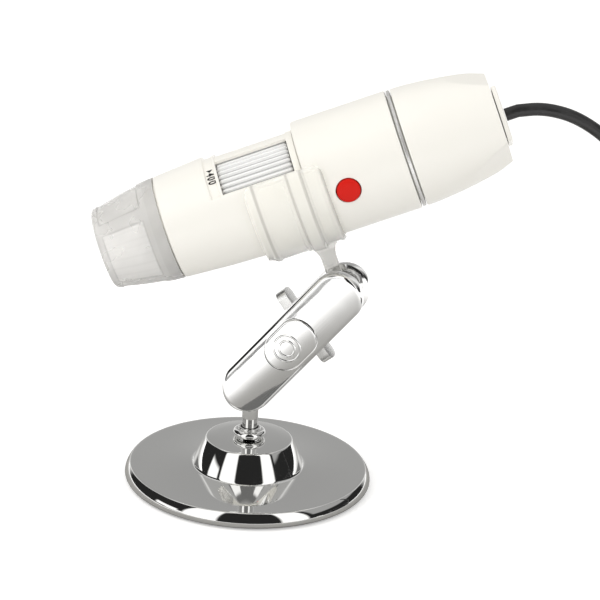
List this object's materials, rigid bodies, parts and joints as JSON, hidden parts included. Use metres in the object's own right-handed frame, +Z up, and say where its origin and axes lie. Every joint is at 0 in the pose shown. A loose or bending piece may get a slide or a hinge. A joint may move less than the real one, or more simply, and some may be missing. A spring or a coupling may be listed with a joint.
{
  "type": "digital microscope",
  "caption": "Handheld USB microscope with ribbed focus wheel and lamp hood, in a clear clip on a ball-jointed clamp arm above a round weighted base, its cable coiled beside it.",
  "frame": {"origin": "centre of the base's underside, on the table", "axes": "+Z up, out of the table; +X from the stem towards the arm's upper end and the microscope's cable; the microscope's nose points to -X"},
  "size_m": [0.2169, 0.0855, 0.1193],
  "materials": {
    "base_chrome": "mirror chrome plate",
    "arm_chrome": "mirror chrome plate",
    "ball_steel": "ground steel, worn by the clamp",
    "weight_iron": "as cast",
    "pad_foam": "matt closed foam",
    "fastener_steel": "bright zinc",
    "wing_silver": "satin cast with soft edges",
    "clip_clear": "clear moulded plastic with glossy faces",
    "hood_clear": "translucent grey plastic, glossy",
    "body_cream": "warm white moulded plastic, soft gloss",
    "wheel_silver": "silver painted ribs",
    "ring_silver": "pearl silver trim",
    "button_red": "glossy red",
    "inner_dark": "matt black moulding",
    "chip_dark": "moulded package",
    "board_green": "green solder mask",
    "lamp_resin": "water clear resin over a yellow chip",
    "lens_glass": "polished, coated",
    "cord_black": "smooth black sheath",
    "tie_black": "coated tie strip",
    "plug_black": "fine matt moulding",
    "usb_steel": "nickel plated sheet"
  },
  "bodies": {
    "base": {"base_shell": "base_chrome", "base_weight": "weight_iron", "base_pad": "pad_foam", "base_nut": "fastener_steel", "stem_collar": "base_chrome", "stand_stem": "base_chrome"},
    "lower_ball": {"lower_ball": "ball_steel"},
    "arm": {"arm_front_shell": "arm_chrome", "arm_rear_shell": "arm_chrome", "arm_boss_cap": "arm_chrome", "clamp_screw": "fastener_steel", "clamp_washer": "fastener_steel"},
    "wing_nut": {"wing_nut": "wing_silver"},
    "upper_ball": {"upper_ball": "ball_steel"},
    "clip": {"scope_clip": "clip_clear"},
    "microscope": {"led_hood": "hood_clear", "led_board": "board_green", "led_1": "lamp_resin", "led_2": "lamp_resin", "led_3": "lamp_resin", "led_4": "lamp_resin", "led_5": "lamp_resin", "led_6": "lamp_resin", "led_7": "lamp_resin", "led_8": "lamp_resin", "front_barrel": "body_cream", "guide_tube": "inner_dark", "main_housing": "body_cream", "sensor_board": "board_green", "image_sensor": "chip_dark", "sensor_screw_1": "fastener_steel", "sensor_screw_2": "fastener_steel", "sensor_screw_3": "fastener_steel", "main_board": "board_green", "tact_switch": "chip_dark", "trim_ring": "ring_silver", "rear_cap": "body_cream", "end_plate": "body_cream", "cable_anchor": "cord_black", "usb_cable": "cord_black", "cable_coil": "cord_black", "cable_tie": "tie_black", "usb_overmould": "plug_black", "usb_shell": "usb_steel", "usb_tongue": "inner_dark"},
    "focus_wheel": {"focus_wheel": "wheel_silver"},
    "lens_carrier": {"lens_carrier": "inner_dark", "objective_lens": "lens_glass", "lens_retainer": "inner_dark"},
    "snap_button": {"snap_button": "button_red"}
  },
  "joints": [
    {"name": "arm_swivel", "type": "hinge", "parent": "base", "child": "lower_ball", "pos_m": [0, 0, 0.0293], "axis": [0, 0, 1], "continuous": true},
    {"name": "arm_tilt", "type": "hinge", "parent": "lower_ball", "child": "arm", "pos_m": [0, 0, 0.0293], "axis": [0, -1, 0], "range_deg": [-51, 60]},
    {"name": "wing_turn", "type": "hinge", "parent": "arm", "child": "wing_nut", "pos_m": [0.01189, 0, 0.04425], "axis": [0, 1, 0], "range_deg": [0, 270]},
    {"name": "head_tilt", "type": "hinge", "parent": "arm", "child": "upper_ball", "pos_m": [0.02378, 0, 0.0592], "axis": [0, 1, 0], "range_deg": [-35, 70]},
    {"name": "head_swivel", "type": "hinge", "parent": "upper_ball", "child": "clip", "pos_m": [0.02378, 0, 0.0592], "axis": [-0.3795, 0, 0.9252], "continuous": true},
    {"name": "scope_roll", "type": "hinge", "parent": "clip", "child": "microscope", "pos_m": [0.01164, 0, 0.0888], "axis": [0.8857, 0.289, 0.3633], "range_deg": [-150, 150]},
    {"name": "focus_turn", "type": "hinge", "parent": "microscope", "child": "focus_wheel", "pos_m": [0.01164, 0, 0.0888], "axis": [0.8857, 0.289, 0.3633], "range_deg": [-150, 150]},
    {"name": "focus_slide", "type": "slide", "parent": "microscope", "child": "lens_carrier", "axis": [0.8857, 0.289, 0.3633], "range_m": [-0.0039, 0.0039]},
    {"name": "snap_press", "type": "slide", "parent": "microscope", "child": "snap_button", "axis": [-0.3206, 0.9468, 0.0283], "range_m": [0, 0.0008], "stiffness_N_per_m": 400, "springref_m": -0.0005}
  ],
  "couplings": [
    {"joint": "focus_turn", "follows": "focus_slide", "rad_per_m": 666.67}
  ]
}
